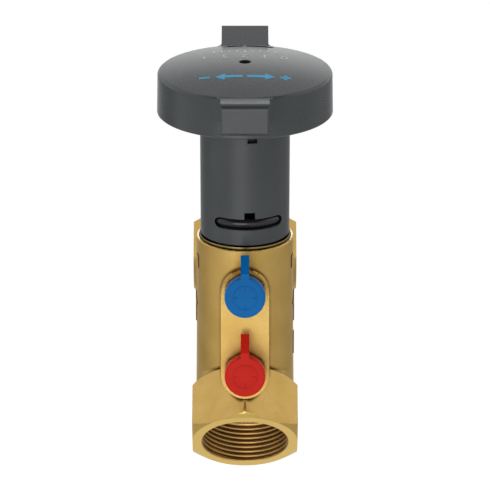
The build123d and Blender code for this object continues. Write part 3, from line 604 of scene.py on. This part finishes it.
# the still dial under the wheel's windows: numbers 0 to 9 with ticks between
dialMarks = {"level": 0.144, "radius": 0.03225, "size": 0.0026, "tickRadius": 0.03385, "zeroTurn": 192.0,
             "numbers": 10, "parts": 10, "shortTick": 0.0007, "longTick": 0.0010, "tickWidth": 0.0002,
             "rise": 0.00002, "thick": 0.00004}
numberTurn = 360 / dialMarks["numbers"]
dialPieces = []
for number in range(dialMarks["numbers"]):
    turn = radians(dialMarks["zeroTurn"] + numberTurn * number)
    out = Matrix.Rotation(turn, 4, "Z")
    digit = figure(str(number), dialMarks["size"])
    digit.data.transform(out @ Matrix.Translation((0, -dialMarks["radius"], 0)))
    dialPieces.append(digit)
    for part in range(1, dialMarks["parts"]):
        tick = "longTick" if part == dialMarks["parts"] / 2 else "shortTick"
        bar = flatBar(dialMarks["tickWidth"], dialMarks[tick])
        bar.data.transform(Matrix.Rotation(turn + radians(numberTurn / dialMarks["parts"] * part), 4, "Z")
                           @ Matrix.Translation((0, -dialMarks["tickRadius"], 0)))
        dialPieces.append(bar)
dialMark = layOn(joinPieces(dialPieces), nodes["scale_disc"], stemPlace(dialMarks["level"]),
                 dialMarks["rise"], dialMarks["thick"])
keep(dialMark, "dialNumbers", Matrix.Identity(4), finishes["blackPrint"], "valve")

# caps: a raised ring with four short bars, as the mould leaves them
capMarks = {"ringRadius": 0.0056, "ringWidth": 0.00045, "ringSteps": 64, "high": 0.0134, "rise": 0.00013,
            "barLength": 0.0017, "barWidth": 0.0005, "barInset": 0.9, "edge": 0.00006}
capPlaces = {"red": ("inlet_cap", 0.0132), "blue": ("outlet_cap", 0.0491)}
for capColour, (capBody, slopePlace) in capPlaces.items():
    deselect()
    bpy.ops.mesh.primitive_circle_add(vertices=capMarks["ringSteps"], radius=capMarks["ringRadius"],
                                      fill_type="NGON")
    ring = bpy.context.object
    bpy.ops.object.mode_set(mode="EDIT")
    bpy.ops.mesh.select_all(action="SELECT")
    bpy.ops.mesh.inset(thickness=capMarks["ringWidth"], use_outset=False)
    bpy.ops.mesh.delete(type="ONLY_FACE")
    bpy.ops.object.mode_set(mode="OBJECT")
    markPieces = [ring]
    for quarter in range(4):
        bar = flatBar(capMarks["barWidth"], capMarks["barLength"])
        barOut = capMarks["ringRadius"] - capMarks["barLength"] * capMarks["barInset"]
        bar.data.transform(Matrix.Rotation(quarter * pi / 2, 4, "Z") @ Matrix.Translation((0, barOut, 0)))
        markPieces.append(bar)
    mark = joinPieces(markPieces)
    skin = mark.modifiers.new("skin", "SOLIDIFY")
    skin.thickness = 2 * capMarks["rise"]
    skin.offset = 0
    roundEdges(mark, capMarks["edge"])
    applyModifiers(mark)
    smooth(mark)
    keep(mark, capColour + "CapRing", bossPlace(slopePlace, capMarks["high"]), finishes[capColour],
         capBody)
print("dial and caps marked")

# sleeve: a thin rib on each side of the window
sleeveMarks = {"low": 0.1183, "high": 0.1245, "turns": (2.5, 17.2), "width": 0.0005, "depth": 0.001,
               "wall": 0.0203, "proud": 0.00022, "edge": 0.00012}
ribs = []
for turn in sleeveMarks["turns"]:
    deselect()
    bpy.ops.mesh.primitive_cube_add(size=1)
    rib = bpy.context.object
    rib.data.transform(Matrix.Diagonal((sleeveMarks["width"], sleeveMarks["depth"],
                                        sleeveMarks["high"] - sleeveMarks["low"], 1)))
    roundEdges(rib, sleeveMarks["edge"])
    applyModifiers(rib)
    ribOut = sleeveMarks["wall"] - sleeveMarks["depth"] / 2 + sleeveMarks["proud"]
    rib.data.transform(stemPlace((sleeveMarks["low"] + sleeveMarks["high"]) / 2, radians(turn))
                       @ Matrix.Translation((0, -ribOut, 0)))
    ribs.append(rib)
keep(joinPieces(ribs), "windowRibs", Matrix.Identity(4), finishes["sleeve"], "valve")

# casting marks: flow arrows on both sides of the neck, and plain foundry bars
sideMarks = {"arrowLength": 0.0150, "arrowWidth": 0.0085, "point": 0.006, "level": 0.034, "away": 0.030,
             "proud": 0.00045, "edge": 0.00018}
# each bar's turn about the stem, its level, width and height
foundryBars = {"foundryBarLow": (90, 0.0155, 0.0034, 0.0105),
               "foundryBarRight": (76, 0.0575, 0.0030, 0.0060),
               "foundryBarLeft": (-76, 0.0575, 0.0030, 0.0060)}


def neckPlace(turn, level):
    # looks in at the neck from the side, with local y up the stem
    out = across * sin(turn) + stemFront * cos(turn)
    along = across * cos(turn) - stemFront * sin(turn)
    place = Matrix((along, stemUp, out)).transposed().to_4x4()
    place.translation = stemFoot + stemUp * level + out * sideMarks["away"]
    return place


def raiseMark(mark, name, place):
    layOn(mark, casting, place, 0.0, sideMarks["proud"], 2)
    roundEdges(mark, sideMarks["edge"])
    applyModifiers(mark)
    smooth(mark)
    keep(mark, name, Matrix.Identity(4), finishes["cast"], "valve")


for name, turn in (("flowArrowRight", 90), ("flowArrowLeft", -90)):
    arrow = flatArrow(sideMarks["arrowLength"], sideMarks["arrowWidth"], sideMarks["point"])
    arrow.data.transform(Matrix.Rotation(pi / 2, 4, "Z"))
    raiseMark(arrow, name, neckPlace(radians(turn), sideMarks["level"]))
for name, (turn, level, width, height) in foundryBars.items():
    raiseMark(flatBar(width, height), name, neckPlace(radians(turn), level))
print("casting marks raised")


# floor and light: a zone gives where along its axis the floor's shine changes, and from what to what
floorPlan = {"drop": -0.35, "middle": 0.1, "size": 12.0, "parts": 8, "colour": 0.62, "rough": 0.9,
             "sheen": 0.1, "glow": 0.62, "shine": 0.7, "dimmest": 0.45,
             "left": (-0.6, -0.1, 0.15, 1.0), "right": (0.10, 0.35, 1.0, 0.28),
             "farLeft": (-1.5, -1.0, 1.9, 0.0), "farRight": (0.55, 0.75, 0.0, 0.6),
             "behind": (0.35, 0.8, 0.0, 1.0), "boost": (0.2, 0.6, 1.0, 2.25), "far": (1.2, 2.0, 1.0, 0.35),
             "lean": (-0.4, 0.4, 0.7, 1.15)}
deselect()
bpy.ops.mesh.primitive_grid_add(x_subdivisions=floorPlan["parts"], y_subdivisions=floorPlan["parts"],
                                size=floorPlan["size"],
                                location=(0, floorPlan["middle"], floorPlan["drop"]))
floor = bpy.context.object
floor.name = "floor"
floorMaterial, floorTree, floorShader = newMaterial("paleFloor", (floorPlan["colour"],) * 3, 0.0,
                                                    floorPlan["rough"])
floorShader.inputs["Specular IOR Level"].default_value = floorPlan["sheen"]
rays = addNode(floorTree, "ShaderNodeLightPath")
seen = addNode(floorTree, "ShaderNodeMath", operation="MAXIMUM")
shine = addNode(floorTree, "ShaderNodeMath", {1: floorPlan["shine"]}, operation="MULTIPLY")
glow = addNode(floorTree, "ShaderNodeMath", {1: floorPlan["glow"]}, operation="MULTIPLY")
floorTree.links.new(rays.outputs["Is Camera Ray"], seen.inputs[0])
# painted reflection: for glossy rays the floor glows most behind the valve and its colour is darker close
# by at its sides; the camera sees it glowing white, and other rays see its plain grey
floorPlace = addNode(floorTree, "ShaderNodeTexCoord")
floorAxes = addNode(floorTree, "ShaderNodeSeparateXYZ")
floorTree.links.new(floorPlace.outputs["Object"], floorAxes.inputs["Vector"])


def combine(tree, operation, first, second):
    node = addNode(tree, "ShaderNodeMath", operation=operation)
    tree.links.new(first, node.inputs[0])
    tree.links.new(second, node.inputs[1])
    return node.outputs[0]


def floorZone(axis, name):
    return spread(floorTree, floorAxes.outputs[axis], *floorPlan[name])


sides = combine(floorTree, "MULTIPLY", floorZone("X", "left"), floorZone("X", "right"))
sides = combine(floorTree, "MAXIMUM", sides, floorZone("X", "farLeft"))
sides = combine(floorTree, "MAXIMUM", sides, floorZone("X", "farRight"))
sides = combine(floorTree, "MAXIMUM", sides, floorZone("Y", "behind"))
reflectedFloorShade = addNode(floorTree, "ShaderNodeMath", {1: floorPlan["dimmest"]}, operation="MAXIMUM")
reflectedFloorShade.use_clamp = True
floorTree.links.new(sides, reflectedFloorShade.inputs[0])
notGlossy = addNode(floorTree, "ShaderNodeMath", {0: 1.0}, operation="SUBTRACT")
floorTree.links.new(rays.outputs["Is Glossy Ray"], notGlossy.inputs[1])
reflectedFloorShade = combine(floorTree, "MAXIMUM", reflectedFloorShade.outputs[0], notGlossy.outputs[0])
floorGrey = addNode(floorTree, "ShaderNodeMath", {1: floorPlan["colour"]}, operation="MULTIPLY")
floorTree.links.new(reflectedFloorShade, floorGrey.inputs[0])
floorTree.links.new(floorGrey.outputs[0], floorShader.inputs["Base Color"])
depth = combine(floorTree, "MULTIPLY", floorZone("Y", "boost"), floorZone("Y", "far"))
depth = combine(floorTree, "MULTIPLY", depth, floorZone("X", "lean"))
sides = combine(floorTree, "MULTIPLY", sides, depth)
floorTree.links.new(combine(floorTree, "MULTIPLY", rays.outputs["Is Glossy Ray"], sides), shine.inputs[0])
floorTree.links.new(shine.outputs[0], seen.inputs[1])
floorTree.links.new(seen.outputs[0], glow.inputs[0])
floorTree.links.new(glow.outputs[0], floorShader.inputs["Emission Strength"])
floorShader.inputs["Emission Color"].default_value = (1, 1, 1, 1)
floor.data.materials.append(floorMaterial)

world = bpy.data.worlds.new("studio")
bpy.context.scene.world = world
world.use_nodes = True
worldTree = world.node_tree
background = worldTree.nodes["Background"]
background.inputs["Color"].default_value = (1, 1, 1, 1)
# the room is even but for these zones: the way to each, where it starts and is full, and its strength
room = {"even": 0.78, "least": 0.02}
roomZones = {
    "front": ((0, -0.76, 0.65), 0.80, 0.97, 0.36),
    "backRight": ((0.8, 0.45, 0.4), 0.82, 0.98, 0.42),
    "backLeft": ((-0.8, 0.45, 0.4), 0.82, 0.98, 0.34),
    "level": ((0, -1, 0), 0.955, 0.995, -0.40),
    "backTop": ((0, 0.75, 0.66), 0.84, 0.96, -0.60),
    "overhead": ((0, 0, 1), 0.62, 0.88, -0.76),
    "right": ((0.78, -0.62, 0.05), 0.5, 0.95, -0.07),
    "left": ((-0.78, -0.62, 0.05), 0.5, 0.95, -0.04),
}
roomWay = addNode(worldTree, "ShaderNodeTexCoord")
total = None
for way, start, full, strength in roomZones.values():
    facing = addNode(worldTree, "ShaderNodeVectorMath", {1: way}, operation="DOT_PRODUCT")
    worldTree.links.new(roomWay.outputs["Generated"], facing.inputs[0])
    plus = addNode(worldTree, "ShaderNodeMath", {0: room["even"]}, operation="ADD")
    if total:
        worldTree.links.new(total, plus.inputs[0])
    zone = spread(worldTree, facing.outputs["Value"], start, full, 0.0, strength)
    worldTree.links.new(zone, plus.inputs[1])
    total = plus.outputs[0]
dimmest = addNode(worldTree, "ShaderNodeMath", {1: room["least"]}, operation="MAXIMUM")
worldTree.links.new(total, dimmest.inputs[0])
worldTree.links.new(dimmest.outputs[0], background.inputs["Strength"])

lampAim = Vector((0, 0.08, 0.07))
lamps = {
    "frontSoft": {"place": (-0.45, -1.5, 1.25), "size": 1.2, "power": 8.5},
    "backSoft": {"place": (-0.3, 1.9, 1.3), "size": 1.5, "power": 6},
}
for lampName, plan in lamps.items():
    bpy.ops.object.light_add(type="AREA", location=plan["place"])
    lamp = bpy.context.object
    lamp.name = lampName
    lamp.data.size = plan["size"]
    lamp.data.energy = plan["power"]
    lamp.rotation_euler = (lampAim - lamp.location).to_track_quat("-Z", "Y").to_euler()
deselect()
bpy.context.scene.view_settings.view_transform = "Standard"
print("floor and light set")
